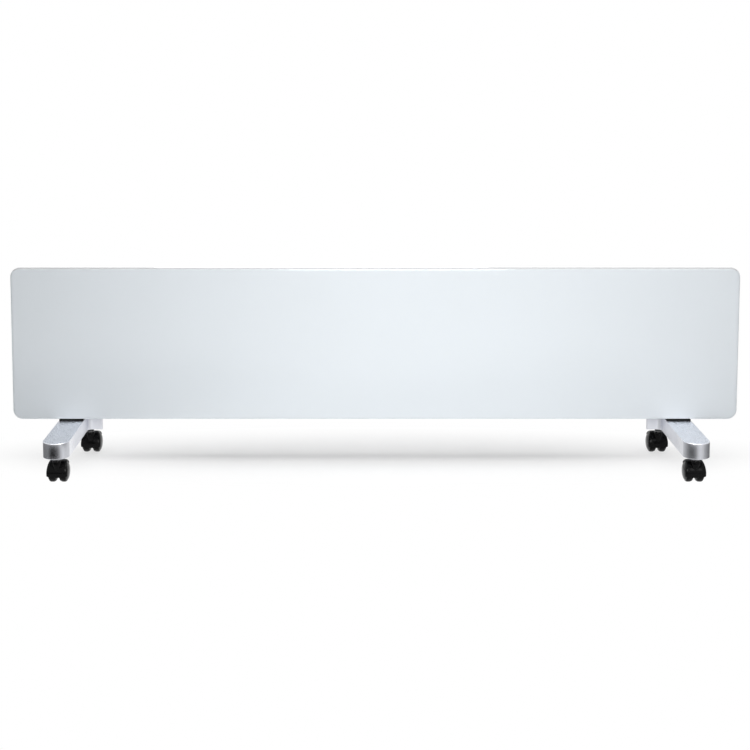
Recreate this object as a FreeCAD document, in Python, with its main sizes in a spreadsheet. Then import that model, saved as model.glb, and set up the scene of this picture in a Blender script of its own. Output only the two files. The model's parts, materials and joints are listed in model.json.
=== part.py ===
import FreeCAD, Part
import os
import re
import Sketcher
from FreeCAD import Vector

# Driving dimensions, in millimetres
# The frame is +X to the right, +Y to the back and +Z up, with the floor at zero.
SIZES = [
    # The glass front
    ("glass_width", 1140),
    ("glass_height", 241),
    ("glass_thickness", 5),
    ("glass_corner", 15),
    ("glass_bevel", 1.5),
    ("glass_pad_gap", 0.2),
    ("bond_thickness", 2),
    ("bond_strip_width", 22),
    ("bond_inset", 6),
    # The steel casing behind it
    ("side_overhang", 20),
    ("edge_overhang", 13),
    ("casing_depth", 50),
    ("sheet_wall", 1.2),
    ("flange_depth", 12),
    ("cap_length", 20),
    ("cap_wall", 2.5),
    ("cap_corner", 5),
    ("cap_lip", 6),
    ("cap_lip_wall", 2),
    ("assembly_gap", 0.2),
    # The grilles and the slots in the back
    ("grille_lap", 2.5),
    ("grille_thickness", 4),
    ("grille_margin", 20),
    ("grille_land", 10),
    ("grille_slot_depth", 8),
    ("grille_slots", 10),
    ("grille_row_pitch", 12),
    ("grille_rows", 2),
    ("back_slot_margin", 82),
    ("back_slot_land", 16),
    ("back_slot_height", 6),
    ("back_slots", 10),
    ("back_row_pitch", 14),
    ("back_slot_rows", 2),
    ("back_row_margin", 18),
    ("back_panel_raise", 2),
    ("back_panel_margin_side", 70),
    ("back_panel_margin_end", 52),
    # The heating element
    ("fin_thickness", 1.2),
    ("fin_depth", 28),
    ("fin_height", 58),
    ("fin_count", 19),
    ("core_side", 12),
    ("core_overrun", 6),
    ("element_inset", 91.4),
    ("element_height", 78),
    ("element_setback", 26),
    ("rod_radius", 4),
    ("rod_overrun", 24),
    ("bracket_sheet", 2),
    ("bracket_height", 34),
    ("bracket_foot", 14),
    ("bracket_reach", 9),
    ("shield_inset", 50),
    ("shield_height", 176),
    ("shield_standoff", 4.8),
    ("shield_sheet", 0.8),
    ("shield_lift", 18),
    # Small electrical pieces
    ("cutout_length", 16),
    ("cutout_width", 14),
    ("cutout_depth", 7),
    ("cutout_ear", 6),
    ("cutout_ear_depth", 1.2),
    ("cutout_inset", 180),
    ("cutout_height", 148),
    ("tip_switch_width", 16),
    ("tip_switch_depth", 14),
    ("tip_switch_height", 26),
    ("tip_switch_inset", 32),
    ("tip_switch_lift", 14),
    ("terminal_width", 34),
    ("terminal_depth", 14),
    ("terminal_height", 16),
    ("terminal_inset", 98),
    ("terminal_lift", 8),
    ("terminal_entry_side", 4),
    ("terminal_entry_depth", 9),
    ("terminal_entry_pitch", 10),
    ("gland_inset", 55),
    ("gland_lift", 20),
    ("gland_bore_radius", 3.7),
    ("gland_side", 12),
    ("gland_stand", 3),
    ("gland_depth", 10),
    ("hanger_spacing", 500),
    ("hanger_hole_radius", 3.25),
    # Controls on the right end
    ("bezel_thickness", 2.5),
    ("bezel_width", 42),
    ("bezel_margin", 9),
    ("bezel_corner", 7),
    ("control_top_drop", 38),
    ("knob_radius", 15),
    ("knob_depth", 12),
    ("knob_gap", 0.4),
    ("knob_rib_width", 3),
    ("knob_rib_height", 1.6),
    ("spindle_radius", 3),
    ("spindle_seat", 12),
    ("thermostat_width", 26),
    ("thermostat_depth", 21),
    ("rocker_pitch", 29),
    ("rocker_drop", 39),
    ("rocker_half_length", 9.6),
    ("rocker_half_width", 7),
    ("rocker_rise", 5.5),
    ("rocker_dip", 4),
    ("rocker_shoulder", 1),
    ("rocker_pivot_radius", 3),
    ("rocker_tilt", 10),
    ("rocker_side_gap", 0.35),
    ("rocker_end_gap", 1.2),
    ("rocker_pivot_sink", 2.5),
    ("switch_wall", 1.2),
    ("switch_floor", 2),
    ("switch_floor_gap", 1.6),
    ("switch_rim", 1),
    ("lens_width", 8),
    ("lens_height", 4),
    ("lens_drop", 27),
    ("lens_stand", 1),
    # Fasteners
    ("bolt_radius", 4),
    ("bolt_head_flats", 13),
    ("bolt_head_height", 5),
    ("bolt_end_margin", 3),
    # The feet
    ("foot_width", 40),
    ("foot_height", 24),
    ("foot_inset", 91),
    ("nose_reach", 132),
    ("heel_reach", 86),
    ("heel_setback", 36),
    ("heel_inset", 24),
    ("heel_taper", 12.5),
    ("heel_tip_radius", 2),
    ("foot_corner", 8),
    ("foot_edge", 1.5),
    ("foot_wall", 3.5),
    ("foot_roof", 4),
    ("recess_margin_front", 18),
    ("recess_margin_back", 18),
    ("pad_thickness", 2.5),
    ("pad_width", 38),
    ("seat_depth", 1.5),
    ("foot_bracket_margin", 1.5),
    # The casters
    ("wheel_radius", 16),
    ("wheel_gap", 9),
    ("wheel_width", 12),
    ("wheel_cap_wall", 5),
    ("axle_radius", 2),
    ("axle_end_gap", 0.5),
    ("caster_trail", 13),
    ("hood_gap", 0.8),
    ("hood_wall", 1.4),
    ("hood_width", 26),
    ("hood_side_gap", 0.4),
    ("hood_skirt", 12),
    ("hood_rear_skirt", 19),
    ("hood_boss_half", 6.5),
    ("hood_boss_back", 4.5),
    ("hood_boss_top", 36.4),
    ("stem_radius", 5),
    ("stem_seat", 18),
    ("stem_show", 6),
    ("stem_gap", 0.3),
    ("pin_radius", 3),
    ("pin_length", 13.5),
    ("pin_end_gap", 0.5),
    ("front_stem_reach", 112),
    ("rear_stem_setback", 47),
    ("rear_stem_inset", 21.5),
    # Fits
    ("running_gap", 0.05),
    ("press_gap", 0.02),
    ("cut_overrun", 1),
    ("closeness", 0.001),
]

# Places and sizes that follow from the driving dimensions
DERIVED = {
    "glass_front": "(nose_reach - heel_reach) / 2",
    "glass_back": "glass_front + glass_thickness",
    "foot_bottom": "hood_boss_top + stem_gap + stem_show",
    "foot_top": "foot_bottom + foot_height",
    "pad_top": "foot_top + pad_thickness",
    "seat_bottom": "foot_top - seat_depth",
    "glass_bottom": "pad_top + glass_pad_gap",
    "glass_top": "glass_bottom + glass_height",
    "casing_bottom": "glass_bottom + edge_overhang",
    "casing_top": "glass_top - edge_overhang",
    "casing_front": "glass_back + bond_thickness",
    "casing_back": "casing_front + casing_depth",
    "casing_middle": "casing_front + casing_depth / 2",
    "casing_end": "glass_width / 2 - side_overhang",
    "sheet_end": "casing_end - cap_length",
    "lip_end": "sheet_end - cap_lip",
    "inner_front": "casing_front + sheet_wall",
    "inner_back": "casing_back - sheet_wall",
    "lip_front": "inner_front + assembly_gap",
    "lip_back": "inner_back - assembly_gap",
    "lip_bottom": "casing_bottom + sheet_wall + assembly_gap",
    "lip_top": "casing_top - sheet_wall - assembly_gap",
    "grille_end": "lip_end - assembly_gap",
    "grille_front": "casing_front + flange_depth - grille_lap",
    "grille_back": "casing_back - flange_depth + grille_lap",
    "grille_pitch": "(2 * grille_end - 2 * grille_margin + grille_land) / grille_slots",
    "grille_slot_length": "grille_pitch - grille_land",
    "grille_run": "grille_pitch * (grille_slots - 1)",
    "grille_row_run": "grille_row_pitch * (grille_rows - 1)",
    "top_grille_top": "casing_top - sheet_wall",
    "bottom_grille_bottom": "casing_bottom + sheet_wall",
    "back_slot_pitch": "(2 * sheet_end - 2 * back_slot_margin + back_slot_land) / back_slots",
    "back_slot_length": "back_slot_pitch - back_slot_land",
    "back_slot_run": "back_slot_pitch * (back_slots - 1)",
    "back_rows": "back_row_pitch * (back_slot_rows - 1)",
    "element_y": "casing_front + element_setback",
    "element_z": "casing_bottom + element_height",
    "core_end": "sheet_end - element_inset",
    "fin_run": "2 * (core_end - core_overrun) - fin_thickness",
    "rod_end": "core_end + rod_overrun",
    "shield_end": "sheet_end - shield_inset",
    "cutout_x": "-(shield_end - cutout_inset)",
    "tip_switch_x": "sheet_end - tip_switch_inset",
    "terminal_x": "sheet_end - terminal_inset",
    "gland_x": "sheet_end - gland_inset",
    "shield_front": "inner_front + shield_standoff",
    "shield_back": "shield_front + shield_sheet",
    "shield_bottom": "casing_bottom + shield_lift",
    "gland_z": "casing_bottom + gland_lift",
    "casing_centre": "(casing_bottom + casing_top) / 2",
    "knob_z": "casing_top - control_top_drop - knob_radius",
    "lens_z": "knob_z + lens_drop",
    "power_z": "knob_z - rocker_drop",
    "heat_z": "power_z - rocker_pitch",
    "cap_inside": "casing_end - cap_wall",
    "bezel_front": "casing_end + bezel_thickness",
    "knob_back": "bezel_front + knob_gap",
    "pivot_x": "bezel_front - rocker_pivot_sink",
    "well_half_length": "rocker_half_length + rocker_end_gap",
    "well_half_width": "rocker_half_width + rocker_side_gap",
    "switch_half_length": "well_half_length + switch_wall",
    "switch_half_width": "well_half_width + switch_wall",
    "well_floor": "pivot_x - rocker_pivot_radius - switch_floor_gap",
    "bezel_bottom": "heat_z - switch_half_length - bezel_margin",
    "bezel_top": "lens_z + lens_height / 2 + bezel_margin",
    "foot_centre": "glass_width / 2 - foot_inset",
    "foot_outside": "foot_centre + foot_width / 2",
    "foot_inside": "foot_centre - foot_width / 2",
    "heel_inside": "foot_inside - heel_inset",
    "nose_tip": "glass_front - nose_reach",
    "nose_centre": "nose_tip + foot_width / 2",
    "heel_front": "glass_front + heel_setback",
    "heel_back": "glass_front + heel_reach",
    "recess_front": "front_stem_y + recess_margin_front",
    "recess_back": "foot_bracket_front - recess_margin_back",
    "foot_bracket_front": "casing_front + foot_bracket_margin",
    "foot_bracket_back": "casing_back - foot_bracket_margin",
    "front_stem_y": "glass_front - front_stem_reach",
    "rear_stem_y": "glass_front + rear_stem_setback",
    "rear_stem_x": "foot_centre - rear_stem_inset",
    "hood_inner": "wheel_radius + hood_gap",
    "hood_outer": "hood_inner + hood_wall",
    "web_half": "wheel_gap / 2 - hood_side_gap",
    "wheel_face": "wheel_gap / 2 + wheel_width",
    "wheel_bore_end": "wheel_face - wheel_cap_wall",
    "axle_end": "wheel_bore_end - axle_end_gap",
    "stem_shoulder": "hood_boss_top + stem_gap",
    "pin_bottom": "stem_shoulder - pin_length",
}

document = FreeCAD.newDocument("GlassPanelHeater")
sheet = document.addObject("Spreadsheet::Sheet", "Sizes")
for row, (alias, size) in enumerate(SIZES, start=1):
    sheet.set("A%d" % row, alias.replace("_", " "))
    sheet.set("B%d" % row, str(size))
    sheet.setAlias("B%d" % row, alias)
document.recompute()

ALIASES = {alias for alias, size in SIZES}
sub_parts = []


def formula(words):
    """Turn named sizes into an expression on the sheet."""
    def replace(match):
        word = match.group(0)
        if word in DERIVED:
            return "(" + formula(DERIVED[word]) + ")"
        if word in ALIASES:
            return "Sizes." + word
        return word
    return re.sub(r"[a-z][a-z_]*", replace, str(words))


def value(words):
    """Work a formula out as a number."""
    return float(sheet.evalExpression(formula(words)))


closeness = value("closeness")


def new_body(name):
    body = document.addObject("PartDesign::Body", name)
    body.Label = name
    body.AllowCompound = True
    sub_parts.append(body)
    return body


def place(body, x="0", y="0", z="0"):
    body.setExpression("Placement.Base.x", formula(x))
    body.setExpression("Placement.Base.y", formula(y))
    body.setExpression("Placement.Base.z", formula(z))


def origin_feature(body, role):
    for feature in body.Origin.OriginFeatures:
        if feature.Role == role:
            return feature


def draw_circle(sketch, x, y, radius):
    centre = Vector(value(x), value(y), 0)
    index = sketch.addGeometry(Part.Circle(centre, Vector(0, 0, 1), value(radius)), False)
    bind(sketch, Sketcher.Constraint("DistanceX", -1, 1, index, 3, centre.x), x)
    bind(sketch, Sketcher.Constraint("DistanceY", -1, 1, index, 3, centre.y), y)
    bind(sketch, Sketcher.Constraint("Radius", index, value(radius)), radius)


def draw_outline(sketch, points):
    corners = [Vector(value(x), value(y), 0) for x, y in points]
    first = sketch.GeometryCount
    count = len(corners)
    for place_in_list, corner in enumerate(corners):
        following = corners[(place_in_list + 1) % count]
        sketch.addGeometry(Part.LineSegment(corner, following), False)
    for place_in_list in range(count):
        line = first + place_in_list
        following = first + (place_in_list + 1) % count
        sketch.addConstraint(Sketcher.Constraint("Coincident", line, 2, following, 1))
    for place_in_list, (x, y) in enumerate(points):
        line = first + place_in_list
        corner = corners[place_in_list]
        bind(sketch, Sketcher.Constraint("DistanceX", -1, 1, line, 1, corner.x), x)
        bind(sketch, Sketcher.Constraint("DistanceY", -1, 1, line, 1, corner.y), y)


def bind(sketch, constraint, words):
    index = sketch.addConstraint(constraint)
    sketch.setExpression("Constraints[%d]" % index, formula(words))


def rectangle(x0, x1, y0, y1):
    return [(x0, y0), (x1, y0), (x1, y1), (x0, y1)]


def centred(x, y, width, height):
    """A rectangle about a centre."""
    aside = "(%s) / 2" % width
    above = "(%s) / 2" % height
    return rectangle(x + " - " + aside, x + " + " + aside, y + " - " + above, y + " + " + above)


def new_sketch(body, name, plane, loops, level):
    """Draw circles (x, y, radius) and outlines (lists of points) on a plane of the body."""
    sketch = body.newObject("Sketcher::SketchObject", name + "_sketch")
    sketch.AttachmentSupport = [(origin_feature(body, plane + "_Plane"), "")]
    sketch.MapMode = "FlatFace"
    sketch.setExpression("AttachmentOffset.Base.z", formula(level))
    for loop in loops:
        if isinstance(loop, tuple):
            draw_circle(sketch, *loop)
        else:
            draw_outline(sketch, loop)
    return sketch


def add(body, name, plane, loops, start, end):
    """Pad loops on a plane from start to end along the row axis that the plane faces."""
    level = "-(%s)" % end if plane == "XZ" else start
    sketch = new_sketch(body, name, plane, loops, level)
    pad = body.newObject("PartDesign::Pad", name)
    pad.Profile = sketch
    pad.setExpression("Length", formula("(%s) - (%s)" % (end, start)))
    document.recompute()
    return pad


def cut(body, name, plane, loops, start, end):
    """Pocket loops on a plane from start to end, and make sure that material went."""
    before = body.Shape.Volume
    level = "-(%s)" % start if plane == "XZ" else end
    sketch = new_sketch(body, name, plane, loops, level)
    pocket = body.newObject("PartDesign::Pocket", name)
    pocket.Profile = sketch
    pocket.setExpression("Length", formula("(%s) - (%s)" % (end, start)))
    document.recompute()
    if body.Shape.Volume >= before:
        raise ValueError(name + " cuts nothing")
    return pocket


def turn(body, name, points, y, z):
    """Revolve points (x, radius) about the line along X through y and z."""
    sketch = body.newObject("Sketcher::SketchObject", name + "_sketch")
    sketch.AttachmentSupport = [(origin_feature(body, "XY_Plane"), "")]
    sketch.MapMode = "FlatFace"
    sketch.setExpression("AttachmentOffset.Base.y", formula(y))
    sketch.setExpression("AttachmentOffset.Base.z", formula(z))
    draw_outline(sketch, points)
    revolution = body.newObject("PartDesign::Revolution", name)
    revolution.Profile = sketch
    revolution.ReferenceAxis = (sketch, ["H_Axis"])
    document.recompute()
    return revolution


def repeat(body, name, feature, axis, run, copies):
    """Repeat a feature along a row axis, over a run that starts at the feature."""
    pattern = body.newObject("PartDesign::LinearPattern", name)
    pattern.Originals = [feature]
    pattern.Direction = (origin_feature(body, axis + "_Axis"), [""])
    pattern.setExpression("Length", formula(run))
    pattern.setExpression("Occurrences", formula(copies))
    body.Tip = pattern
    document.recompute()
    return pattern


def repeat_grid(body, name, feature, *directions):
    """Repeat a feature along two row axes, each given with its run and its copies."""
    grid = body.newObject("PartDesign::MultiTransform", name)
    grid.Originals = [feature]
    steps = []
    for axis, run, copies in directions:
        step = document.addObject("PartDesign::LinearPattern", name + "_" + axis.lower())
        step.Direction = (origin_feature(body, axis + "_Axis"), [""])
        step.setExpression("Length", formula(run))
        step.setExpression("Occurrences", formula(copies))
        steps.append(step)
    grid.Transformations = steps
    body.Tip = grid
    document.recompute()
    return grid


def edges_of(feature, test):
    names = []
    for number, edge in enumerate(feature.Shape.Edges, start=1):
        if test(edge.BoundBox):
            names.append("Edge%d" % number)
    if not names:
        raise ValueError("no edge found on " + feature.Name)
    return names


def soften(body, name, kind, feature, test, size):
    """Round or chamfer the edges of a feature whose boxes pass the test."""
    softened = body.newObject("PartDesign::" + kind, name)
    softened.Base = (feature, edges_of(feature, test))
    softened.setExpression("Radius" if kind == "Fillet" else "Size", formula(size))
    body.Tip = softened
    document.recompute()
    return softened


def along_x(box):
    return box.YLength < closeness and box.ZLength < closeness


def along_y(box):
    return box.XLength < closeness and box.ZLength < closeness


def along_z(box):
    return box.XLength < closeness and box.YLength < closeness


def at_y(words):
    level = value(words)
    return lambda box: abs(box.YMin - level) < closeness and abs(box.YMax - level) < closeness


def at_z(words):
    level = value(words)
    return lambda box: abs(box.ZMin - level) < closeness and abs(box.ZMax - level) < closeness


# The glass front, with rounded corners and a bevel all round its face
def glass_panel():
    body = new_body("glass_panel")
    outline = rectangle("-glass_width / 2", "glass_width / 2", "glass_bottom", "glass_top")
    pane = add(body, "pane", "XZ", [outline], "glass_front", "glass_back")
    corners = soften(body, "pane_corners", "Fillet", pane, along_y, "glass_corner")
    soften(body, "pane_bevel", "Chamfer", corners, at_y("glass_front"), "glass_bevel")


# One closed frame of bonding tape between the glass and the steel
def glass_bond_frame():
    body = new_body("glass_bond_frame")
    height = "casing_top - casing_bottom - 2 * bond_inset"
    outer = centred("0", "casing_centre", "2 * (sheet_end - bond_inset)", height)
    inner = centred("0", "casing_centre", "2 * (sheet_end - bond_inset - bond_strip_width)",
                    height + " - 2 * bond_strip_width")
    add(body, "tape", "XZ", [outer, inner], "glass_back", "casing_front")


# The folded steel tray behind the glass, open at the back and at its ends
def front_pan():
    body = new_body("front_pan")
    profile = [
        ("casing_front", "casing_bottom"),
        ("casing_front + flange_depth", "casing_bottom"),
        ("casing_front + flange_depth", "casing_bottom + sheet_wall"),
        ("inner_front", "casing_bottom + sheet_wall"),
        ("inner_front", "casing_top - sheet_wall"),
        ("casing_front + flange_depth", "casing_top - sheet_wall"),
        ("casing_front + flange_depth", "casing_top"),
        ("casing_front", "casing_top"),
    ]
    add(body, "pan_fold", "YZ", [profile], "-sheet_end", "sheet_end")


# The folded steel back, with a raised panel and rows of slots above and below it
def rear_casing():
    body = new_body("rear_casing")
    profile = [
        ("casing_back", "casing_bottom"),
        ("casing_back - flange_depth", "casing_bottom"),
        ("casing_back - flange_depth", "casing_bottom + sheet_wall"),
        ("inner_back", "casing_bottom + sheet_wall"),
        ("inner_back", "casing_top - sheet_wall"),
        ("casing_back - flange_depth", "casing_top - sheet_wall"),
        ("casing_back - flange_depth", "casing_top"),
        ("casing_back", "casing_top"),
    ]
    add(body, "casing_fold", "YZ", [profile], "-sheet_end", "sheet_end")
    width = "2 * (sheet_end - back_panel_margin_side)"
    height = "casing_top - casing_bottom - 2 * back_panel_margin_end"
    raised = centred("0", "casing_centre", width, height)
    add(body, "raised_panel", "XZ", [raised], "casing_back - sheet_wall / 2",
        "casing_back + back_panel_raise")
    hollow = centred("0", "casing_centre", width + " - 2 * sheet_wall", height + " - 2 * sheet_wall")
    cut(body, "raised_panel_hollow", "XZ", [hollow], "inner_back - cut_overrun",
        "inner_back + back_panel_raise")
    for name, lowest in (("upper", "casing_top - back_row_margin - back_slot_height - back_rows"),
                         ("lower", "casing_bottom + back_row_margin")):
        slot = centred("-back_slot_run / 2", lowest + " + back_slot_height / 2", "back_slot_length",
                       "back_slot_height")
        first = cut(body, name + "_slot", "XZ", [slot], "inner_back - cut_overrun",
                    "casing_back + cut_overrun")
        repeat_grid(body, name + "_slots", first, ("X", "back_slot_run", "back_slots"),
                    ("Z", "back_rows", "back_slot_rows"))
    cut(body, "gland_hole", "XZ", [gland_outline("press_gap")], "inner_back - cut_overrun",
        "casing_back + cut_overrun")
    hangers = [(side + "hanger_spacing / 2", "casing_centre", "hanger_hole_radius") for side in ("-", "")]
    cut(body, "hanger_holes", "XZ", hangers, "inner_back - cut_overrun",
        "casing_back + back_panel_raise + cut_overrun")


# A plate with two rows of long slots, which closes the gap between the halves, above or below
def grille(name, bottom):
    body = new_body(name)
    top = "(%s) + grille_thickness" % bottom
    plate = rectangle("-grille_end", "grille_end", "grille_front", "grille_back")
    add(body, name + "_plate", "XY", [plate], bottom, top)
    slot = centred("-grille_run / 2", "casing_middle - grille_row_run / 2", "grille_slot_length",
                   "grille_slot_depth")
    first = cut(body, name + "_slot", "XY", [slot], "(%s) - cut_overrun" % bottom,
                "(%s) + cut_overrun" % top)
    repeat_grid(body, name + "_slots", first, ("X", "grille_run", "grille_slots"),
                ("Y", "grille_row_run", "grille_rows"))


# A moulded end, open towards the casing, with a lip that slides inside the sheet
def end_cap(name, side, control_holes):
    body = new_body(name)
    shell = add(body, name + "_shell", "YZ",
                [rectangle("casing_front", "casing_back", "casing_bottom", "casing_top")],
                *outward(side, "sheet_end", "casing_end"))
    outer_face = value(mirrored(side, "casing_end"))
    soften(body, name + "_edge", "Fillet", shell,
           lambda box: along_z(box) and abs(box.XMin - outer_face) < closeness, "cap_corner")
    add(body, name + "_lip", "YZ", [rectangle("lip_front", "lip_back", "lip_bottom", "lip_top")],
        *outward(side, "lip_end", "sheet_end + cap_length / 2"))
    inside = rectangle("lip_front + cap_lip_wall", "lip_back - cap_lip_wall",
                       "lip_bottom + cap_lip_wall", "lip_top - cap_lip_wall")
    cut(body, name + "_hollow", "YZ", [inside], *outward(side, "lip_end - cut_overrun", "cap_inside"))
    if control_holes:
        openings = [("casing_middle", "knob_z", "spindle_radius + assembly_gap")] + switch_openings()
        cut(body, name + "_control_holes", "YZ", openings, "cap_inside - cut_overrun",
            "casing_end + cut_overrun")


# The openings that the rocker switches need in the end cap and in the bezel
def switch_openings():
    return [centred("casing_middle", centre, "2 * (switch_half_width + press_gap)",
                    "2 * (switch_half_length + press_gap)") for centre in ("power_z", "heat_z")]


# The finned aluminium convector: plates on one square core
def heating_element_fins():
    body = new_body("heating_element_fins")
    core = centred("element_y", "element_z", "core_side", "core_side")
    add(body, "core", "YZ", [core], "-core_end", "core_end")
    fin = centred("element_y", "element_z", "fin_depth", "fin_height")
    first = add(body, "fin", "YZ", [fin], "-fin_run / 2 - fin_thickness / 2",
                "-fin_run / 2 + fin_thickness / 2")
    repeat(body, "fins", first, "X", "fin_run", "fin_count")
    cut(body, "rod_bore", "YZ", [("element_y", "element_z", "rod_radius + press_gap")],
        "-core_end - cut_overrun", "core_end + cut_overrun")


# The sheathed heating rod in the core's bore
def heating_element_rod():
    body = new_body("heating_element_rod")
    add(body, "rod", "YZ", [("element_y", "element_z", "rod_radius")], "-rod_end", "rod_end")


# An angle bracket whose notch carries one end of the rod from the back of the casing
def element_bracket(name, side):
    body = new_body(name)
    low = "element_z - bracket_height / 2"
    high = "element_z + bracket_height / 2"
    back = "inner_back + back_panel_raise"
    front = "element_y - bracket_reach"
    notch = "(rod_radius + press_gap)"
    upright = [
        (front, low), (back, low), (back, high), (front, high),
        (front, "element_z + " + notch), ("element_y + " + notch, "element_z + " + notch),
        ("element_y + " + notch, "element_z - " + notch), (front, "element_z - " + notch),
    ]
    near = "core_end + bracket_sheet"
    add(body, name + "_upright", "YZ", [upright], *outward(side, near, near + " + bracket_sheet"))
    foot = rectangle(back + " - bracket_sheet", back, low, high)
    add(body, name + "_foot", "YZ", [foot], *outward(side, near, near + " + bracket_foot"))


# The bright plate that keeps the heat off the glass, folded forward onto the pan
def heat_shield():
    body = new_body("heat_shield")
    low = "shield_bottom"
    high = "shield_bottom + shield_height"
    profile = [
        ("inner_front", low), ("shield_back", low), ("shield_back", high), ("inner_front", high),
        ("inner_front", high + " - shield_sheet"), ("shield_front", high + " - shield_sheet"),
        ("shield_front", low + " + shield_sheet"), ("inner_front", low + " + shield_sheet"),
    ]
    add(body, "shield_fold", "YZ", [profile], "-shield_end", "shield_end")


# The overheat cut-out, a small case with two ears against the shield
def thermal_cutout():
    body = new_body("thermal_cutout")
    centre = "casing_bottom + cutout_height + cutout_width / 2"
    case = centred("cutout_x", centre, "cutout_length", "cutout_width")
    add(body, "cutout_case", "XZ", [case], "shield_back", "shield_back + cutout_depth")
    ears = centred("cutout_x", centre, "cutout_length + 2 * cutout_ear", "cutout_width")
    add(body, "cutout_ears", "XZ", [ears], "shield_back", "shield_back + cutout_ear_depth")


# The switch that cuts the power if the heater falls over
def tip_over_switch():
    body = new_body("tip_over_switch")
    bottom = "bottom_grille_bottom + tip_switch_lift"
    case = centred("tip_switch_x", "inner_back - tip_switch_depth / 2", "tip_switch_width",
                   "tip_switch_depth")
    add(body, "tip_case", "XY", [case], bottom, bottom + " + tip_switch_height")


# Where the mains lead meets the inner wiring
def terminal_block():
    body = new_body("terminal_block")
    bottom = "bottom_grille_bottom + terminal_lift"
    block = centred("terminal_x", "inner_back - terminal_depth / 2", "terminal_width", "terminal_depth")
    add(body, "terminal_case", "XY", [block], bottom, bottom + " + terminal_height")
    wires = []
    for step in ("-", "0 *", ""):
        x = "terminal_x + (%s terminal_entry_pitch)" % step
        wires.append(centred(x, "inner_back - terminal_depth / 2", "terminal_entry_side",
                             "terminal_entry_side"))
    cut(body, "terminal_entries", "XY", wires,
        bottom + " + terminal_height - terminal_entry_depth", bottom + " + terminal_height")


# The square snap-in bush that the mains lead passes through
def cable_gland():
    body = new_body("cable_gland")
    add(body, "gland", "XZ", [gland_outline("0"), ("gland_x", "gland_z", "gland_bore_radius")],
        "casing_back - gland_depth", "casing_back + gland_stand")


def gland_outline(clearance):
    """The square of the bush, grown by a clearance for its hole."""
    side = "gland_side + 2 * " + clearance
    return centred("gland_x", "gland_z", side, side)


# The plate around the controls
def control_bezel():
    body = new_body("control_bezel")
    face = rectangle("casing_middle - bezel_width / 2", "casing_middle + bezel_width / 2",
                     "bezel_bottom", "bezel_top")
    plate = add(body, "bezel_plate", "YZ", [face], "casing_end", "bezel_front")
    soften(body, "bezel_corners", "Fillet", plate, along_x, "bezel_corner")
    openings = [("casing_middle", "knob_z", "spindle_radius + assembly_gap"), lens_outline("press_gap")]
    cut(body, "bezel_holes", "YZ", openings + switch_openings(), "casing_end - cut_overrun",
        "bezel_front + cut_overrun")


def thermostat_body():
    body = new_body("thermostat_body")
    case = centred("casing_middle", "knob_z", "thermostat_width", "thermostat_width")
    add(body, "thermostat_case", "YZ", [case], "cap_inside - thermostat_depth", "cap_inside")
    cut(body, "thermostat_bore", "YZ", [("casing_middle", "knob_z", "spindle_radius + running_gap")],
        "cap_inside - spindle_seat - running_gap", "cap_inside + cut_overrun")


def thermostat_spindle():
    body = new_body("thermostat_spindle")
    add(body, "spindle", "YZ", [("casing_middle", "knob_z", "spindle_radius")],
        "cap_inside - spindle_seat", "knob_back")


# The temperature knob, with a raised pointer
def thermostat_knob():
    body = new_body("thermostat_knob")
    add(body, "knob_barrel", "YZ", [("casing_middle", "knob_z", "knob_radius")],
        "knob_back", "knob_back + knob_depth")
    rib = rectangle("casing_middle - knob_rib_width / 2", "casing_middle + knob_rib_width / 2",
                    "knob_z", "knob_z + knob_radius - knob_rib_width")
    add(body, "knob_pointer", "YZ", [rib], "knob_back + knob_depth / 2",
        "knob_back + knob_depth + knob_rib_height")


# The boxes that hold the two rockers, each with a rim over the bezel
def rocker_switch_bodies():
    body = new_body("rocker_switch_bodies")
    for name, centre in (("power", "power_z"), ("heat", "heat_z")):
        outside = centred("casing_middle", centre, "2 * switch_half_width", "2 * switch_half_length")
        add(body, name + "_case", "YZ", [outside], "well_floor - switch_floor", "bezel_front + switch_rim")
        inside = centred("casing_middle", centre, "2 * well_half_width", "2 * well_half_length")
        cut(body, name + "_well", "YZ", [inside], "well_floor", "bezel_front + switch_rim + cut_overrun")


# A rocker with a round keel, drawn level about its pivot and then placed tilted to its off side
def rocker(name, centre):
    body = new_body(name)
    profile = [
        ("rocker_shoulder", "-rocker_half_length"),
        ("rocker_rise", "-rocker_half_length"),
        ("rocker_dip", "0"),
        ("rocker_rise", "rocker_half_length"),
        ("rocker_shoulder", "rocker_half_length"),
        ("0", "rocker_pivot_radius"),
        ("0", "-rocker_pivot_radius"),
    ]
    across = ("-rocker_half_width", "rocker_half_width")
    add(body, name + "_key", "XZ", [profile], *across)
    add(body, name + "_keel", "XZ", [("0", "0", "rocker_pivot_radius")], *across)
    body.Placement = FreeCAD.Placement(Vector(), FreeCAD.Rotation(Vector(0, 1, 0), value("rocker_tilt")))
    body.setExpression("Placement.Rotation.Angle", formula("rocker_tilt"))
    place(body, "pivot_x", "casing_middle", centre)


# The neon lens in the bezel, a small bar
def indicator_lens():
    body = new_body("indicator_lens")
    add(body, "lens", "YZ", [lens_outline("0")], "casing_end", "bezel_front + lens_stand")


def lens_outline(clearance):
    """The bar of the lens, grown by a clearance for its hole."""
    return centred("casing_middle", "lens_z", "lens_width + 2 * " + clearance,
                   "lens_height + 2 * " + clearance)


def mirrored(side, words):
    """A place along X, for the right side or mirrored to the left."""
    return words if side > 0 else "-(%s)" % words


def outward(side, near, far):
    """Order a stretch along X, given outward from the middle, for one side."""
    if side > 0:
        return near, far
    return mirrored(side, far), mirrored(side, near)


def polygon(x, y, flat_radius, sides):
    """The corners of a regular polygon about a centre, from the radius to the middle of its flats."""
    half_side = 180 // sides
    corners = []
    for corner in range(sides):
        words = (flat_radius, half_side, half_side * (2 * corner + 1))
        corner_x = x + " + (%s) / cos(%d) * cos(%d)" % words
        corner_y = y + " + (%s) / cos(%d) * sin(%d)" % words
        corners.append((corner_x, corner_y))
    return corners


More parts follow.
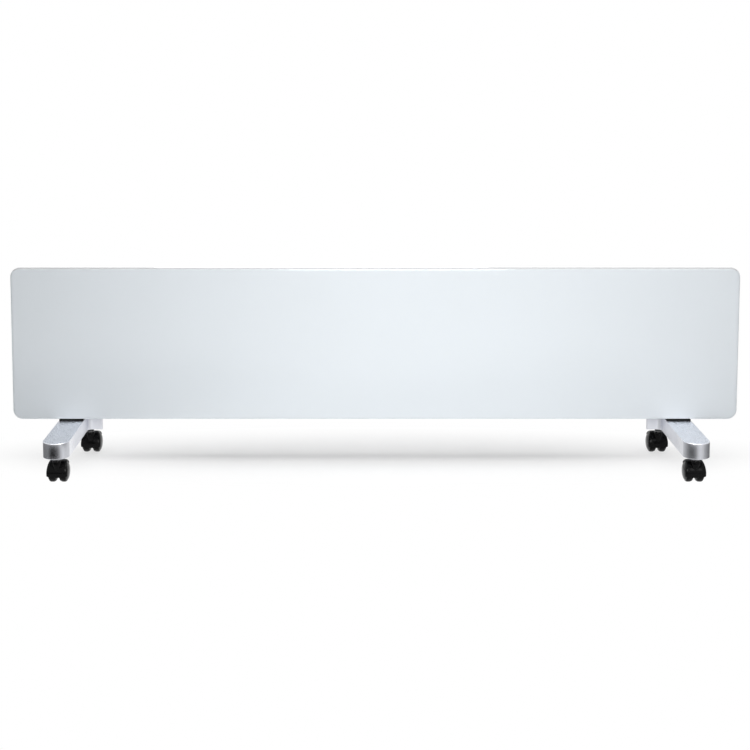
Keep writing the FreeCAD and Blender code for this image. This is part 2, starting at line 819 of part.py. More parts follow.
# One bolt from under each foot, up into the bracket above it
def foot_bolts():
    body = new_body("foot_bolts")
    for side_name, side in (("left", -1), ("right", 1)):
        x = mirrored(side, "foot_centre")
        add(body, side_name + "_bolt_shank", "XY", [(x, "casing_middle", "bolt_radius")],
            "foot_bottom - bolt_head_height / 2", "casing_bottom - bolt_end_margin")
        add(body, side_name + "_bolt_head", "XY", [polygon(x, "casing_middle", "bolt_head_flats / 2", 6)],
            "foot_bottom - bolt_head_height", "foot_bottom")


# A cast foot: an arm with a round nose, a heel that turns inward and tapers, and a hollow underside
def foot(name, side):
    body = new_body(name)

    def x(words):
        return mirrored(side, words)

    arm = [
        (x("foot_outside"), "nose_centre"), (x("foot_outside"), "heel_back"),
        (x("heel_inside + heel_taper"), "heel_back"), (x("heel_inside"), "heel_front"),
        (x("foot_inside"), "heel_front"), (x("foot_inside"), "nose_centre"),
    ]
    slab = add(body, name + "_arm", "XY", [arm], "foot_bottom", "foot_top")
    nose_y = value("nose_centre")
    tip_x = value(x("heel_inside"))

    def at_tip(box):
        return along_z(box) and abs(box.XMin - tip_x) < closeness

    def at_corner(box):
        return along_z(box) and abs(box.YMin - nose_y) > closeness and not at_tip(box)

    corners = soften(body, name + "_corners", "Fillet", slab, at_corner, "foot_corner")
    soften(body, name + "_heel_tip", "Fillet", corners, at_tip, "heel_tip_radius")
    nose = add(body, name + "_nose", "XY", [(x("foot_centre"), "nose_centre", "foot_width / 2")],
               "foot_bottom", "foot_top")
    soften(body, name + "_top_edge", "Chamfer", nose, at_z("foot_top"), "foot_edge")
    recess = centred(x("foot_centre"), "(recess_front + recess_back) / 2", "foot_width - 2 * foot_wall",
                     "recess_back - recess_front")
    cut(body, name + "_recess", "XY", [recess], "foot_bottom - cut_overrun", "foot_top - foot_roof")
    stems = [(x("foot_centre"), "front_stem_y", "stem_radius + press_gap"),
             (x("rear_stem_x"), "rear_stem_y", "stem_radius + press_gap")]
    cut(body, name + "_stem_sockets", "XY", stems, "foot_bottom - cut_overrun",
        "foot_bottom + stem_seat + stem_gap")
    cut(body, name + "_bolt_hole", "XY", [(x("foot_centre"), "casing_middle", "bolt_radius + press_gap")],
        "foot_bottom - cut_overrun", "foot_top + cut_overrun")
    seat = centred(x("foot_centre"), "casing_middle", "pad_width + 2 * assembly_gap",
                   "foot_bracket_back - foot_bracket_front + 2 * assembly_gap")
    cut(body, name + "_seat", "XY", [seat], "seat_bottom", "foot_top + cut_overrun")


# The rubber strip between a foot and the glass above it
def foot_pad(name, side):
    body = new_body(name)
    back = "foot_bracket_front - assembly_gap"
    outline = centred(mirrored(side, "foot_centre"), "(glass_front + %s) / 2" % back, "pad_width",
                      back + " - glass_front")
    add(body, name + "_strip", "XY", [outline], "foot_top", "pad_top")


# The block that carries the casing, keyed into a foot and tapped for its bolt
def foot_bracket(name, side):
    body = new_body(name)
    outline = rectangle("foot_bracket_front", "foot_bracket_back", "seat_bottom", "casing_bottom")
    add(body, name + "_block", "YZ", [outline],
        *outward(side, "foot_centre - pad_width / 2", "foot_centre + pad_width / 2"))
    bolt = (mirrored(side, "foot_centre"), "casing_middle", "bolt_radius + press_gap")
    cut(body, name + "_hole", "XY", [bolt], "seat_bottom - cut_overrun", "casing_bottom - bolt_end_margin")


# Where the four casters stand, as side, place along X and place along Y
CASTERS = [
    ("front_left", -1, "foot_centre", "front_stem_y"),
    ("front_right", 1, "foot_centre", "front_stem_y"),
    ("rear_left", -1, "rear_stem_x", "rear_stem_y"),
    ("rear_right", 1, "rear_stem_x", "rear_stem_y"),
]


# The steel stems: a shank pressed into the foot, and below it the pin that the hood turns on
def caster_stems():
    body = new_body("caster_stems")
    for name, side, stem_x, stem_y in CASTERS:
        x = mirrored(side, stem_x)
        add(body, name + "_shank", "XY", [(x, stem_y, "stem_radius")],
            "stem_shoulder", "foot_bottom + stem_seat")
        add(body, name + "_pin", "XY", [(x, stem_y, "pin_radius")], "pin_bottom",
            "stem_shoulder + stem_show / 2")


# A hood: a cover over the front and top of both wheels, round outside and flat-sided within, and a web
# between them that carries the axle and, at its front, the bore for the stem. It is drawn about the
# foot of the stem's axis.
def caster_hood(name, x, y):
    body = new_body(name + "_hood")
    axle_y = "caster_trail"
    axle_z = "wheel_radius"
    barrel = [(axle_y, axle_z, "hood_outer"), polygon(axle_y, axle_z, "hood_inner", 12)]
    add(body, name + "_barrel", "YZ", barrel, "-hood_width / 2", "hood_width / 2")
    web = [
        ("caster_trail - hood_inner", "hood_skirt"),
        ("caster_trail + axle_radius * 3", "hood_skirt"),
        ("caster_trail + axle_radius * 3", "hood_rear_skirt"),
        ("caster_trail + hood_inner / 2", "wheel_radius + hood_inner * cos(30) + hood_wall / 2"),
        ("-hood_boss_half", "wheel_radius + hood_inner * cos(30) + hood_wall / 2"),
        ("-hood_boss_half", "hood_skirt"),
    ]
    add(body, name + "_web", "YZ", [web], "-web_half", "web_half")
    boss = rectangle("-hood_boss_half", "hood_boss_half", "-hood_boss_half", "hood_boss_back")
    add(body, name + "_boss", "XY", [boss], "wheel_radius + hood_inner * cos(30)", "hood_boss_top")
    cut(body, name + "_rear_opening", "YZ", [below_hood()], "-hood_width / 2 - cut_overrun",
        "hood_width / 2 + cut_overrun")
    cut(body, name + "_axle_bore", "YZ", [(axle_y, axle_z, "axle_radius + press_gap")],
        "-web_half - cut_overrun", "web_half + cut_overrun")
    cut(body, name + "_stem_bore", "XY", [("0", "0", "pin_radius + running_gap")],
        "pin_bottom - pin_end_gap", "hood_boss_top + cut_overrun")
    place(body, x, y)


def below_hood():
    """What is cut away from the hood: all below its skirt, and at the back all below a 45 degree slope."""
    return [
        ("caster_trail - hood_outer - cut_overrun", "wheel_radius - hood_outer - cut_overrun"),
        ("caster_trail + hood_outer * 2 + cut_overrun", "wheel_radius - hood_outer - cut_overrun"),
        ("caster_trail + axle_radius * 3 + hood_outer", "hood_rear_skirt + hood_outer"),
        ("caster_trail + axle_radius * 3", "hood_rear_skirt"),
        ("caster_trail + axle_radius * 3", "hood_skirt"),
        ("caster_trail - hood_outer - cut_overrun", "hood_skirt"),
    ]


def caster_axle(name, x, y):
    body = new_body(name + "_axle")
    rod = ("caster_trail", "wheel_radius", "axle_radius")
    add(body, name + "_rod", "YZ", [rod], "-axle_end", "axle_end")
    place(body, x, y)


# A wheel with a flat tread and a blind bore for the axle
def caster_wheel(name, direction, x, y):
    body = new_body(name)

    def out(words):
        return mirrored(direction, words)

    profile = [
        (out("wheel_gap / 2"), "axle_radius + running_gap"),
        (out("wheel_gap / 2"), "wheel_radius"),
        (out("wheel_face"), "wheel_radius"),
        (out("wheel_face"), "0"),
        (out("wheel_bore_end"), "0"),
        (out("wheel_bore_end"), "axle_radius + running_gap"),
    ]
    turn(body, name + "_turned", profile, "caster_trail", "wheel_radius")
    place(body, x, y)


def casters():
    for name, side, stem_x, stem_y in CASTERS:
        x = mirrored(side, stem_x)
        caster_hood(name, x, stem_y)
        caster_axle(name, x, stem_y)
        caster_wheel(name + "_inner_wheel", -side, x, stem_y)
        caster_wheel(name + "_outer_wheel", side, x, stem_y)


def build():
    glass_panel()
    glass_bond_frame()
    front_pan()
    rear_casing()
    grille("top_outlet_grille", "top_grille_top - grille_thickness")
    grille("bottom_inlet_grille", "bottom_grille_bottom")
    end_cap("left_end_cap", -1, False)
    end_cap("right_end_cap", 1, True)
    heating_element_fins()
    heating_element_rod()
    element_bracket("left_element_bracket", -1)
    element_bracket("right_element_bracket", 1)
    heat_shield()
    thermal_cutout()
    tip_over_switch()
    terminal_block()
    cable_gland()
    control_bezel()
    thermostat_body()
    thermostat_spindle()
    thermostat_knob()
    rocker_switch_bodies()
    rocker("power_rocker", "power_z")
    rocker("heat_rocker", "heat_z")
    indicator_lens()
    foot_bolts()
    for name, side in (("left", -1), ("right", 1)):
        foot(name + "_foot", side)
        foot_pad(name + "_foot_pad", side)
        foot_bracket(name + "_foot_bracket", side)
    caster_stems()
    casters()


# Nothing is written unless every object of the document came out whole
def check():
    document.recompute()
    for item in document.Objects:
        if "Invalid" in item.State or "Error" in item.State:
            raise ValueError(item.Name + " failed: " + str(item.State))
    for body in sub_parts:
        if body.Shape.isNull() or not body.Shape.isValid() or not body.Shape.Solids:
            raise ValueError(body.Label + " has no sound shape")


def write():
    os.makedirs("parts", exist_ok=True)
    for body in sub_parts:
        body.Shape.exportStep("parts/%s.step" % body.Label)


build()
check()
write()
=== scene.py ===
import json
import math

import bmesh
import bpy
from mathutils import Euler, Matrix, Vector


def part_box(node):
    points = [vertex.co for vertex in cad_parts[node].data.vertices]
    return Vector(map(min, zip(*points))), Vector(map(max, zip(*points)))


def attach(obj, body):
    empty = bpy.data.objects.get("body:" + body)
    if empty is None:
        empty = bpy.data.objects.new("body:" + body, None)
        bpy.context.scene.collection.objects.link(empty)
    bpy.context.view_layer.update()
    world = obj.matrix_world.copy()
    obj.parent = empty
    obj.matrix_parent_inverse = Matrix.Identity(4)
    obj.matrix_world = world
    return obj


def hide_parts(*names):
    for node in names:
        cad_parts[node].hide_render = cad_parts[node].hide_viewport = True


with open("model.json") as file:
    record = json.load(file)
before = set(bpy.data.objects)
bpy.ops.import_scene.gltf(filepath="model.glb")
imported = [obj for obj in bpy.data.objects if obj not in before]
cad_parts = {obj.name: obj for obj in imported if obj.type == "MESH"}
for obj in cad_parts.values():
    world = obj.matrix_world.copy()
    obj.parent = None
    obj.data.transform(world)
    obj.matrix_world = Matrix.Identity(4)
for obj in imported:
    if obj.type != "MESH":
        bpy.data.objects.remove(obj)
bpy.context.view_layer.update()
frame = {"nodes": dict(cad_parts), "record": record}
nodes = frame["nodes"]

MM = 0.001
MICRON = 0.000001
WHITE = (1, 1, 1, 1)
CASTERS = ("front_left", "front_right", "rear_left", "rear_right")

# Points closer than the merge distance become one, and no rounded corner is tighter than the smallest bend
MERGE_DISTANCE = 1e-6
SMALLEST_BEND = 1e-5

# Steps along a quarter of a rounded corner or edge, and round a turned shape
ARC_STEPS = 10
FOOT_ARC_STEPS = 16
SMALL_ARC_STEPS = 4
EDGE_STEPS = 5
ROUND_STEPS = 64
WHEEL_STEPS = 72
COLLAR_STEPS = 40
SCREW_STEPS = 24

# The camera stands a little left of the middle and looks slightly down. Its shift keeps the glass upright.
CAMERA_LEFT = 0.039
CAMERA_BACK = 2.138
CAMERA_HEIGHT = 0.648
CAMERA_PITCH = 5.62
CAMERA_LENS = 67.2
CAMERA_SHIFT = (0.033, -0.2492)


def set_camera():
    data = bpy.data.cameras.new("studio_camera")
    data.lens = CAMERA_LENS
    data.shift_x, data.shift_y = CAMERA_SHIFT
    camera = bpy.data.objects.new("studio_camera", data)
    camera.location = (-CAMERA_LEFT, -CAMERA_BACK, CAMERA_HEIGHT)
    camera.rotation_euler = Euler((math.radians(90 - CAMERA_PITCH), 0, 0))
    bpy.context.scene.collection.objects.link(camera)
    bpy.context.scene.camera = camera


# Node helpers. The owner of the nodes is a material or the world.
def add_node(owner, kind, **values):
    """Add a shader node. Values name its properties, or its inputs by socket name."""
    node = owner.node_tree.nodes.new("ShaderNode" + kind)
    for name, value in values.items():
        if hasattr(node, name):
            setattr(node, name, value)
        else:
            node.inputs[name.replace("_", " ")].default_value = value
    return node


def join(owner, output, target):
    owner.node_tree.links.new(output, target)


def emptied(owner, kind):
    """Clear an owner's nodes, and return a new output of the kind named."""
    owner.use_nodes = True
    owner.node_tree.nodes.clear()
    return add_node(owner, kind)


def map_range(owner, source, start, end, low=0.0, high=1.0, kind="LINEAR"):
    """Carry a value from the range between start and end to the one between low and high."""
    ranged = add_node(owner, "MapRange", interpolation_type=kind, From_Min=start, From_Max=end,
                      To_Min=low, To_Max=high)
    join(owner, source, ranged.inputs["Value"])
    return ranged.outputs["Result"]


def mix_shaders(owner, factor, first, second, output):
    """Send two shaders, mixed by a factor, to an output."""
    mix = add_node(owner, "MixShader")
    join(owner, factor, mix.inputs["Fac"])
    join(owner, first.outputs[0], mix.inputs[1])
    join(owner, second.outputs[0], mix.inputs[2])
    join(owner, mix.outputs["Shader"], output.inputs["Surface"])


# Finishes. A noise stays mostly within its middle range, and its drift has larger and plainer grains.
NOISE_MIDDLE = (0.3, 0.7)
DRIFT_GRAINS = 12
DRIFT_DETAIL = 2.0
GRAIN_DETAIL = 4.0
COAT_ROUGHNESS = 0.08


def noise(material, scale, detail, stretch):
    """Noise in the object's own metres, so that a scale of 1000 has grains of about a millimetre."""
    place = add_node(material, "TexCoord")
    mapping = add_node(material, "Mapping", Scale=stretch)
    texture = add_node(material, "TexNoise", Scale=scale, Detail=detail)
    join(material, place.outputs["Object"], mapping.inputs["Vector"])
    join(material, mapping.outputs["Vector"], texture.inputs["Vector"])
    return texture.outputs["Fac"]


def spread(material, source, low, high):
    """Carry a noise from its middle range to a range of values."""
    return map_range(material, source, *NOISE_MIDDLE, low, high)


def between(material, source, first, second):
    """A colour between two, by a factor."""
    ramp = add_node(material, "ValToRGB")
    ramp.color_ramp.elements[0].color = (*first, 1)
    ramp.color_ramp.elements[1].color = (*second, 1)
    join(material, source, ramp.inputs["Fac"])
    return ramp.outputs["Color"]


def surface(name, colour, other, roughness, grain, relief, metallic=0.0, stretch=(1, 1, 1), coat=0.0,
            specular=0.5):
    """A finish whose colour drifts between two shades, with grain in its roughness and its relief."""
    material = bpy.data.materials.new(name)
    material.use_nodes = True
    shader = material.node_tree.nodes["Principled BSDF"]
    drift = spread(material, noise(material, grain / DRIFT_GRAINS, DRIFT_DETAIL, stretch), 0, 1)
    join(material, between(material, drift, colour, other), shader.inputs["Base Color"])
    fine = noise(material, grain, GRAIN_DETAIL, stretch)
    join(material, spread(material, fine, *roughness), shader.inputs["Roughness"])
    bump = add_node(material, "Bump", Strength=1, Distance=relief * MICRON)
    join(material, fine, bump.inputs["Height"])
    join(material, bump.outputs["Normal"], shader.inputs["Normal"])
    shader.inputs["Metallic"].default_value = metallic
    shader.inputs["Specular IOR Level"].default_value = specular
    shader.inputs["Coat Weight"].default_value = coat
    shader.inputs["Coat Roughness"].default_value = COAT_ROUGHNESS
    return material


NEAR_BLACK = (0.0022, 0.0022, 0.0025)
NEAR_BLACK_HIGH = (0.0035, 0.0035, 0.0038)
METAL = {"metallic": 1.0}
STREAKED_METAL = {"metallic": 1.0, "stretch": (0.1, 1, 1)}
ROLLED_METAL = {"metallic": 1.0, "stretch": (0.05, 1, 1)}

# Each finish: its colour, the shade it drifts to, its roughness from and to, its grains in a metre, its
# relief in microns, and what else it has
FINISHES = {
    "white_glass": ((0.832, 0.882, 0.922), (0.822, 0.870, 0.907), (0.10, 0.14), 30, 10, {}),
    # The next finish darkens the edges of the glass, and on the glass's top bevel it is a painted shade
    "glass_edge_and_painted_shade": ((0.70, 0.71, 0.725), (0.66, 0.67, 0.685), (0.05, 0.09), 30, 10, {}),
    # The next finish is a painted highlight line along the top edge of the glass
    "glass_painted_highlight_line": ((0.930, 0.950, 0.965), (0.915, 0.940, 0.955), (0.10, 0.14), 30, 10, {}),
    "bond_tape": ((0.02, 0.02, 0.022), (0.03, 0.03, 0.032), (0.7, 0.9), 900, 200, {}),
    "casing_steel": ((0.80, 0.81, 0.82), (0.77, 0.78, 0.80), (0.42, 0.55), 1400, 60, {}),
    "grille_steel": ((0.76, 0.77, 0.78), (0.72, 0.73, 0.75), (0.35, 0.48), 1400, 50, {}),
    "cap_plastic": ((0.79, 0.80, 0.81), (0.77, 0.78, 0.79), (0.45, 0.60), 2200, 50, {}),
    "element_aluminium": ((0.62, 0.63, 0.64), (0.50, 0.51, 0.53), (0.30, 0.45), 500, 30, STREAKED_METAL),
    "rod_steel": ((0.30, 0.27, 0.22), (0.22, 0.20, 0.20), (0.25, 0.40), 700, 20, STREAKED_METAL),
    "bracket_steel": ((0.06, 0.06, 0.065), (0.09, 0.09, 0.095), (0.40, 0.55), 1200, 50, {}),
    "shield_aluminium": ((0.78, 0.79, 0.80), (0.70, 0.71, 0.73), (0.12, 0.30), 300, 20, ROLLED_METAL),
    "black_plastic": ((0.02, 0.02, 0.022), (0.028, 0.028, 0.03), (0.45, 0.60), 1800, 50, {}),
    "bezel_plastic": ((0.045, 0.045, 0.05), (0.06, 0.06, 0.065), (0.40, 0.55), 2200, 40, {}),
    "knob_plastic": ((0.022, 0.022, 0.024), (0.032, 0.032, 0.034), (0.35, 0.50), 1800, 40, {}),
    "spindle_steel": ((0.55, 0.55, 0.53), (0.46, 0.46, 0.45), (0.20, 0.35), 900, 20, METAL),
    "rocker_plastic": ((0.02, 0.02, 0.022), (0.03, 0.03, 0.032), (0.12, 0.2), 600, 10, {"coat": 0.4}),
    "lens_plastic": ((0.75, 0.16, 0.02), (0.60, 0.10, 0.015), (0.08, 0.16), 900, 20, {"coat": 0.6}),
    "screw_steel": ((0.52, 0.52, 0.50), (0.42, 0.42, 0.41), (0.22, 0.40), 1500, 30, METAL),
    "foot_aluminium": ((0.79, 0.805, 0.855), (0.76, 0.775, 0.825), (0.16, 0.20), 700, 4, METAL),
    # The next finish is near black: a pad, and a painted shade under the glass
    "pad_rubber": (NEAR_BLACK, NEAR_BLACK_HIGH, (0.55, 0.75), 900, 20, {"specular": 0.2}),
    "stem_steel": ((0.40, 0.40, 0.40), (0.32, 0.32, 0.33), (0.20, 0.35), 1200, 20, METAL),
    "hood_nylon": (NEAR_BLACK, NEAR_BLACK_HIGH, (0.16, 0.24), 500, 10, {"specular": 0.10}),
    "axle_steel": ((0.55, 0.55, 0.55), (0.45, 0.45, 0.46), (0.15, 0.30), 1200, 20, METAL),
    "wheel_nylon": (NEAR_BLACK, NEAR_BLACK_HIGH, (0.22, 0.34), 500, 10, {"specular": 0.08}),
    "wheel_cap": ((0.010, 0.010, 0.011), (0.014, 0.014, 0.015), (0.10, 0.16), 500, 10, {"specular": 0.35}),
    "print_white": ((0.72, 0.72, 0.71), (0.66, 0.66, 0.65), (0.40, 0.55), 1800, 10, {}),
}

# A foot is polished at its nose. Behind it, from one place along Y to the other, its sides grow rougher, and
# its top is rougher wherever its normal points up.
POLISH_END = (-88 * MM, -30 * MM)
SIDE_BLAST = 0.24
TOP_NORMAL = (0.85, 0.99)
TOP_BLAST = 0.10
# The places of a mix node's sockets for numbers, whose names repeat
MIX_FIRST = 2
MIX_SECOND = 3


def polish_nose(material):
    shader = material.node_tree.nodes["Principled BSDF"]
    polished = shader.inputs["Roughness"].links[0].from_socket
    place = add_node(material, "TexCoord")
    blasts = []
    for output, axis, limits, more in (("Object", "Y", POLISH_END, SIDE_BLAST),
                                       ("Normal", "Z", TOP_NORMAL, TOP_BLAST)):
        axes = add_node(material, "SeparateXYZ")
        join(material, place.outputs[output], axes.inputs["Vector"])
        blasts.append(map_range(material, axes.outputs[axis], *limits, 0, more, "SMOOTHSTEP"))
    on_sides, on_top = blasts
    mix = add_node(material, "Mix", data_type="FLOAT")
    join(material, map_range(material, on_top, 0, TOP_BLAST), mix.inputs["Factor"])
    join(material, on_sides, mix.inputs[MIX_FIRST])
    join(material, on_top, mix.inputs[MIX_SECOND])
    total = add_node(material, "Math", operation="ADD")
    join(material, polished, total.inputs[0])
    join(material, mix.outputs[0], total.inputs[1])
    join(material, total.outputs["Value"], shader.inputs["Roughness"])


def make_materials():
    made = {name: surface(name, *values, **more) for name, (*values, more) in FINISHES.items()}
    polish_nose(made["foot_aluminium"])
    return made


def dress_frame(materials):
    """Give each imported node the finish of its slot."""
    for part in frame["record"]["subparts"]:
        node = nodes[part["node"]]
        node.data.materials.clear()
        node.data.materials.append(materials[part["material_slot"]])


# Mesh helpers
def middle_of(node):
    """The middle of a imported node's box."""
    low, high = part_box(node)
    return (low + high) / 2


def in_mm(profile):
    """A profile given in millimetres, in metres."""
    return [tuple(value * MM for value in point) for point in profile]


def mirrored(half):
    """A profile whose half, from the middle out, is given."""
    return [(-x, radius) for x, radius in reversed(half[1:])] + half


def rectangle(left, bottom, right, top, radius):
    """Corners of a rectangle, counter-clockwise, for an outline."""
    return [(left, bottom, radius), (right, bottom, radius), (right, top, radius), (left, top, radius)]


def even_angles(first, last, steps):
    """Angles in even steps between two, which are in degrees."""
    return [math.radians(first + (last - first) * step / steps) for step in range(steps + 1)]


def rounded_outline(corners, inset=0.0, steps=ARC_STEPS):
    """Points of an outline given counter-clockwise as (x, y, radius), moved inward by an inset."""
    points = []
    count = len(corners)
    for index, (x, y, radius) in enumerate(corners):
        before = Vector(corners[index - 1][:2])
        after = Vector(corners[(index + 1) % count][:2])
        here = Vector((x, y))
        arriving = (here - before).normalized()
        leaving = (after - here).normalized()
        turn = math.atan2(arriving.cross(leaving), arriving.dot(leaving))
        into = Vector((-arriving.y, arriving.x))
        out_of = Vector((-leaving.y, leaving.x))
        side = 1 if turn > 0 else -1
        bend = max(radius - inset * side, SMALLEST_BEND)
        shifted = here + (into + out_of) * (inset / (1 + into.dot(out_of)))
        reach = bend * math.tan(abs(turn) / 2)
        start = shifted - arriving * reach
        centre = start + into * bend * side
        spoke = start - centre
        for step in range(steps + 1):
            angle = turn * step / steps
            turned = Vector((spoke.x * math.cos(angle) - spoke.y * math.sin(angle),
                             spoke.x * math.sin(angle) + spoke.y * math.cos(angle)))
            points.append(centre + turned)
    return points


def level(points, height):
    """Outline points laid flat at a height."""
    return [Vector((p.x, p.y, height)) for p in points]


def upright(points, depth):
    """Outline points stood up in a plane that faces along Y."""
    return [Vector((p.x, depth, p.y)) for p in points]


def facing_x(points, x):
    """Outline points stood up in a plane that faces along X."""
    return [Vector((x, p.x, p.y)) for p in points]


def new_piece(name, mesh, body, finishes, smooth=30):
    """Turn a bmesh into a piece with its finishes, which rides on a body. Edges over an angle stay sharp."""
    bmesh.ops.remove_doubles(mesh, verts=mesh.verts, dist=MERGE_DISTANCE)
    bmesh.ops.recalc_face_normals(mesh, faces=mesh.faces)
    data = bpy.data.meshes.new(name)
    mesh.to_mesh(data)
    mesh.free()
    for finish in finishes:
        data.materials.append(finish)
    for face in data.polygons:
        face.use_smooth = True
    data.set_sharp_from_angle(angle=math.radians(smooth))
    piece = bpy.data.objects.new(name, data)
    bpy.context.scene.collection.objects.link(piece)
    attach(piece, body)
    return piece


def loft(mesh, loops, bands=None, caps=(0, 0)):
    """Join loops of equally many points by bands of faces. Bands and caps name materials by number."""
    rows = [[mesh.verts.new(p) for p in loop] for loop in loops]
    count = len(rows[0])
    for number, (row, following) in enumerate(zip(rows, rows[1:])):
        for index in range(count):
            beside = (index + 1) % count
            face = mesh.faces.new((row[index], row[beside], following[beside], following[index]))
            face.material_index = bands[number] if bands else 0
    for row, cap in ((rows[0][::-1], caps[0]), (rows[-1], caps[1])):
        if cap is not None:
            mesh.faces.new(row).material_index = cap


def stacked(corners, rims, steps):
    """A mesh of level outlines with the same corners, one for each (inset, height)."""
    mesh = bmesh.new()
    loft(mesh, [level(rounded_outline(corners, inset, steps), height) for inset, height in rims])
    return mesh


def ring(centre, radius, axis, steps):
    """Points round an axis through a centre. The first points up, or to the front on a Z axis."""
    points = []
    for step in range(steps):
        angle = math.tau * step / steps
        across, along = math.sin(angle) * radius, math.cos(angle) * radius
        offset = {"X": (0, across, along), "Y": (across, 0, along), "Z": (across, -along, 0)}[axis]
        points.append(Vector(centre) + Vector(offset))
    return points


def lathe(mesh, centre, axis, profile, bands=None, steps=ROUND_STEPS, caps=(0, 0)):
    """Turn a profile of (place along the axis, radius) about an axis through a centre."""
    direction = Vector({"X": (1, 0, 0), "Y": (0, 1, 0), "Z": (0, 0, 1)}[axis])
    loops = [ring(Vector(centre) + direction * along, radius, axis, steps) for along, radius in profile]
    loft(mesh, loops, bands, caps)


def swept(mesh, centre, section, angles, flare=0.0):
    """Carry a section of (place along the axle, radius) round an axle. An angle of zero points to the front,
    where the section is wider by the flare."""
    loops = []
    for angle in angles:
        wider = 1 + flare * max(math.cos(angle), 0) ** 2
        loops.append([centre + Vector((x * wider, -radius * math.cos(angle), radius * math.sin(angle)))
                      for x, radius in section])
    loft(mesh, loops)


# The glass, with its polished rim, darker at its edges. Along the top edge only, its upward bevel has a
# painted shade, and below it runs a bright painted highlight line.
def glass_panel(materials):
    low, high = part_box("glass_panel")
    corner = 15 * MM
    back_ease = 0.5 * MM
    bevel = 2.4 * MM
    bevel_ease = 0.3 * MM
    side_end = low.y + 1.4 * MM
    bevel_start = low.y + 0.95 * MM
    bevel_end = low.y + 0.1 * MM
    line = 5.0 * MM
    faces_up = 0.3
    front, rim, slope, painted_highlight = range(4)
    profile = [
        (back_ease, high.y), (0, high.y - back_ease), (0, side_end), (bevel_ease, bevel_start),
        (bevel - bevel_ease, bevel_end), (bevel, low.y), (line, low.y),
    ]
    bands = [rim, rim, rim, slope, painted_highlight, front]
    corners = rectangle(low.x, low.z, high.x, high.z, corner)
    mesh = bmesh.new()
    loft(mesh, [upright(rounded_outline(corners, inset), depth) for inset, depth in profile], bands)
    finishes = [materials[name] for name in ("white_glass", "glass_edge_and_painted_shade", "glass_painted_highlight_line", "glass_painted_highlight_line")]
    piece = new_piece("glass_front", mesh, "root", finishes, smooth=20)
    # Bevel faces that point up take the darker rim finish, a painted shade along the top edge; the others
    # take the front's
    for face in piece.data.polygons:
        if face.material_index == slope:
            face.material_index = rim if face.normal.z > faces_up else front
        # The painted highlight line stays only along the top edge
        elif face.material_index == painted_highlight and face.center.z < high.z - line:
            face.material_index = front
    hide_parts("glass_panel")


# The cast feet: a soft top edge, a soft lower edge and a shallow hollow beneath
def foot(side_name, materials):
    low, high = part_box(side_name + "_foot")
    arm = 40 * MM
    nose = arm / 2
    heel = 50 * MM
    taper = 12.5 * MM
    tip = 2 * MM
    corner = 8 * MM
    outside = max(abs(low.x), abs(high.x))
    inside = min(abs(low.x), abs(high.x))
    corners = [
        (outside - arm, low.y, nose), (outside, low.y, nose), (outside, high.y, corner),
        (inside + taper, high.y, corner), (inside, high.y - heel, tip),
        (outside - arm, high.y - heel, corner),
    ]
    if side_name == "left":
        corners = [(-x, y, radius) for x, y, radius in reversed(corners)]
    upper_edge = 0.9 * MM
    lower_edge = 0.6 * MM
    hollow = 3.0 * MM
    hollow_wall = 3.2 * MM
    hollow_draft = 0.4 * MM
    rims = [(hollow_wall + hollow_draft, low.z + hollow), (hollow_wall, low.z)]
    quarter = [(1 - math.sin(angle), 1 - math.cos(angle)) for angle in even_angles(0, 90, EDGE_STEPS)]
    rims += [(lower_edge * falling, low.z + lower_edge * rising) for falling, rising in quarter]
    rims += [(upper_edge * rising, high.z - upper_edge * falling) for falling, rising in quarter]
    mesh = stacked(corners, rims, FOOT_ARC_STEPS)
    finishes = [materials["foot_aluminium"]]
    piece = new_piece(side_name + "_cast_foot", mesh, "root", finishes)
    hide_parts(side_name + "_foot")


# A near-black pad on each arm under the glass. Its black stands in for the shade under the glass: a painted
# shade.
def foot_pad(side_name, materials):
    low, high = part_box(side_name + "_foot_pad")
    corner = 0.8 * MM
    edge = 0.4 * MM
    corners = rectangle(low.x, low.y, high.x, high.y, corner)
    rims = [(edge, low.z), (0, low.z + edge), (0, high.z - edge), (edge, high.z)]
    mesh = stacked(corners, rims, SMALL_ARC_STEPS)
    piece = new_piece(side_name + "_painted_shade_pad", mesh, "root", [materials["pad_rubber"]])
    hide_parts(side_name + "_foot_pad")


# Twin-wheel casters. Their profiles are (place out from the middle, radius), in millimetres.
TREAD_PROFILE = [
    (4.5, 2.4), (4.5, 14.2), (4.65, 14.8), (5.1, 15.35), (5.8, 15.75), (6.8, 15.95), (7.8, 16.0),
    (9.8, 16.0), (11.0, 15.8), (12.0, 15.3), (12.6, 14.8), (12.5, 14.4), (12.3, 14.2),
]
CAP_PROFILE = [
    (12.3, 14.2), (12.9, 14.0), (13.9, 12.9), (14.9, 11.0), (15.7, 8.6), (16.2, 5.8), (16.45, 2.8),
    (16.5, 1.0), (16.5, 0.01),
]
HOOD_PROFILE = [
    (0, 18.2), (4, 18.2), (8, 18.1), (10.5, 17.8), (12.2, 17.2), (13.2, 16.4), (13.7, 15.6), (13.8, 14.9),
]
WEB_HALF = 4.1
GUARD_PROFILE = [(0, 8.4), (0.9, 9.4), (1.8, 11.4), (2.6, 13.2), (3.4, 14.5), (WEB_HALF, 15.0)]
GUARD_BORE = 2.6

# The web from the side: (place behind the axle, height above it, radius of the corner), in millimetres
WEB_CORNERS = [(-17, -6, 1), (6, -6, 1.5), (9, -3, 2), (8, 15.6, 1), (-11, 12.6, 1), (-17, 1, 1)]

# The boss round the stem. Its neck is (height above the axle in millimetres, share of the radius), and its
# top is (depth below the top, distance inside the radius), in millimetres.
BOSS_RADIUS = 6.4 * MM
NECK_SHARES = [(3.5, 0.55), (6, 0.72), (9, 0.88), (12.5, 0.98), (15, 1)]
BOSS_TOP = [(1.2, 0), (0.35, 0.35), (0, 1.1)]

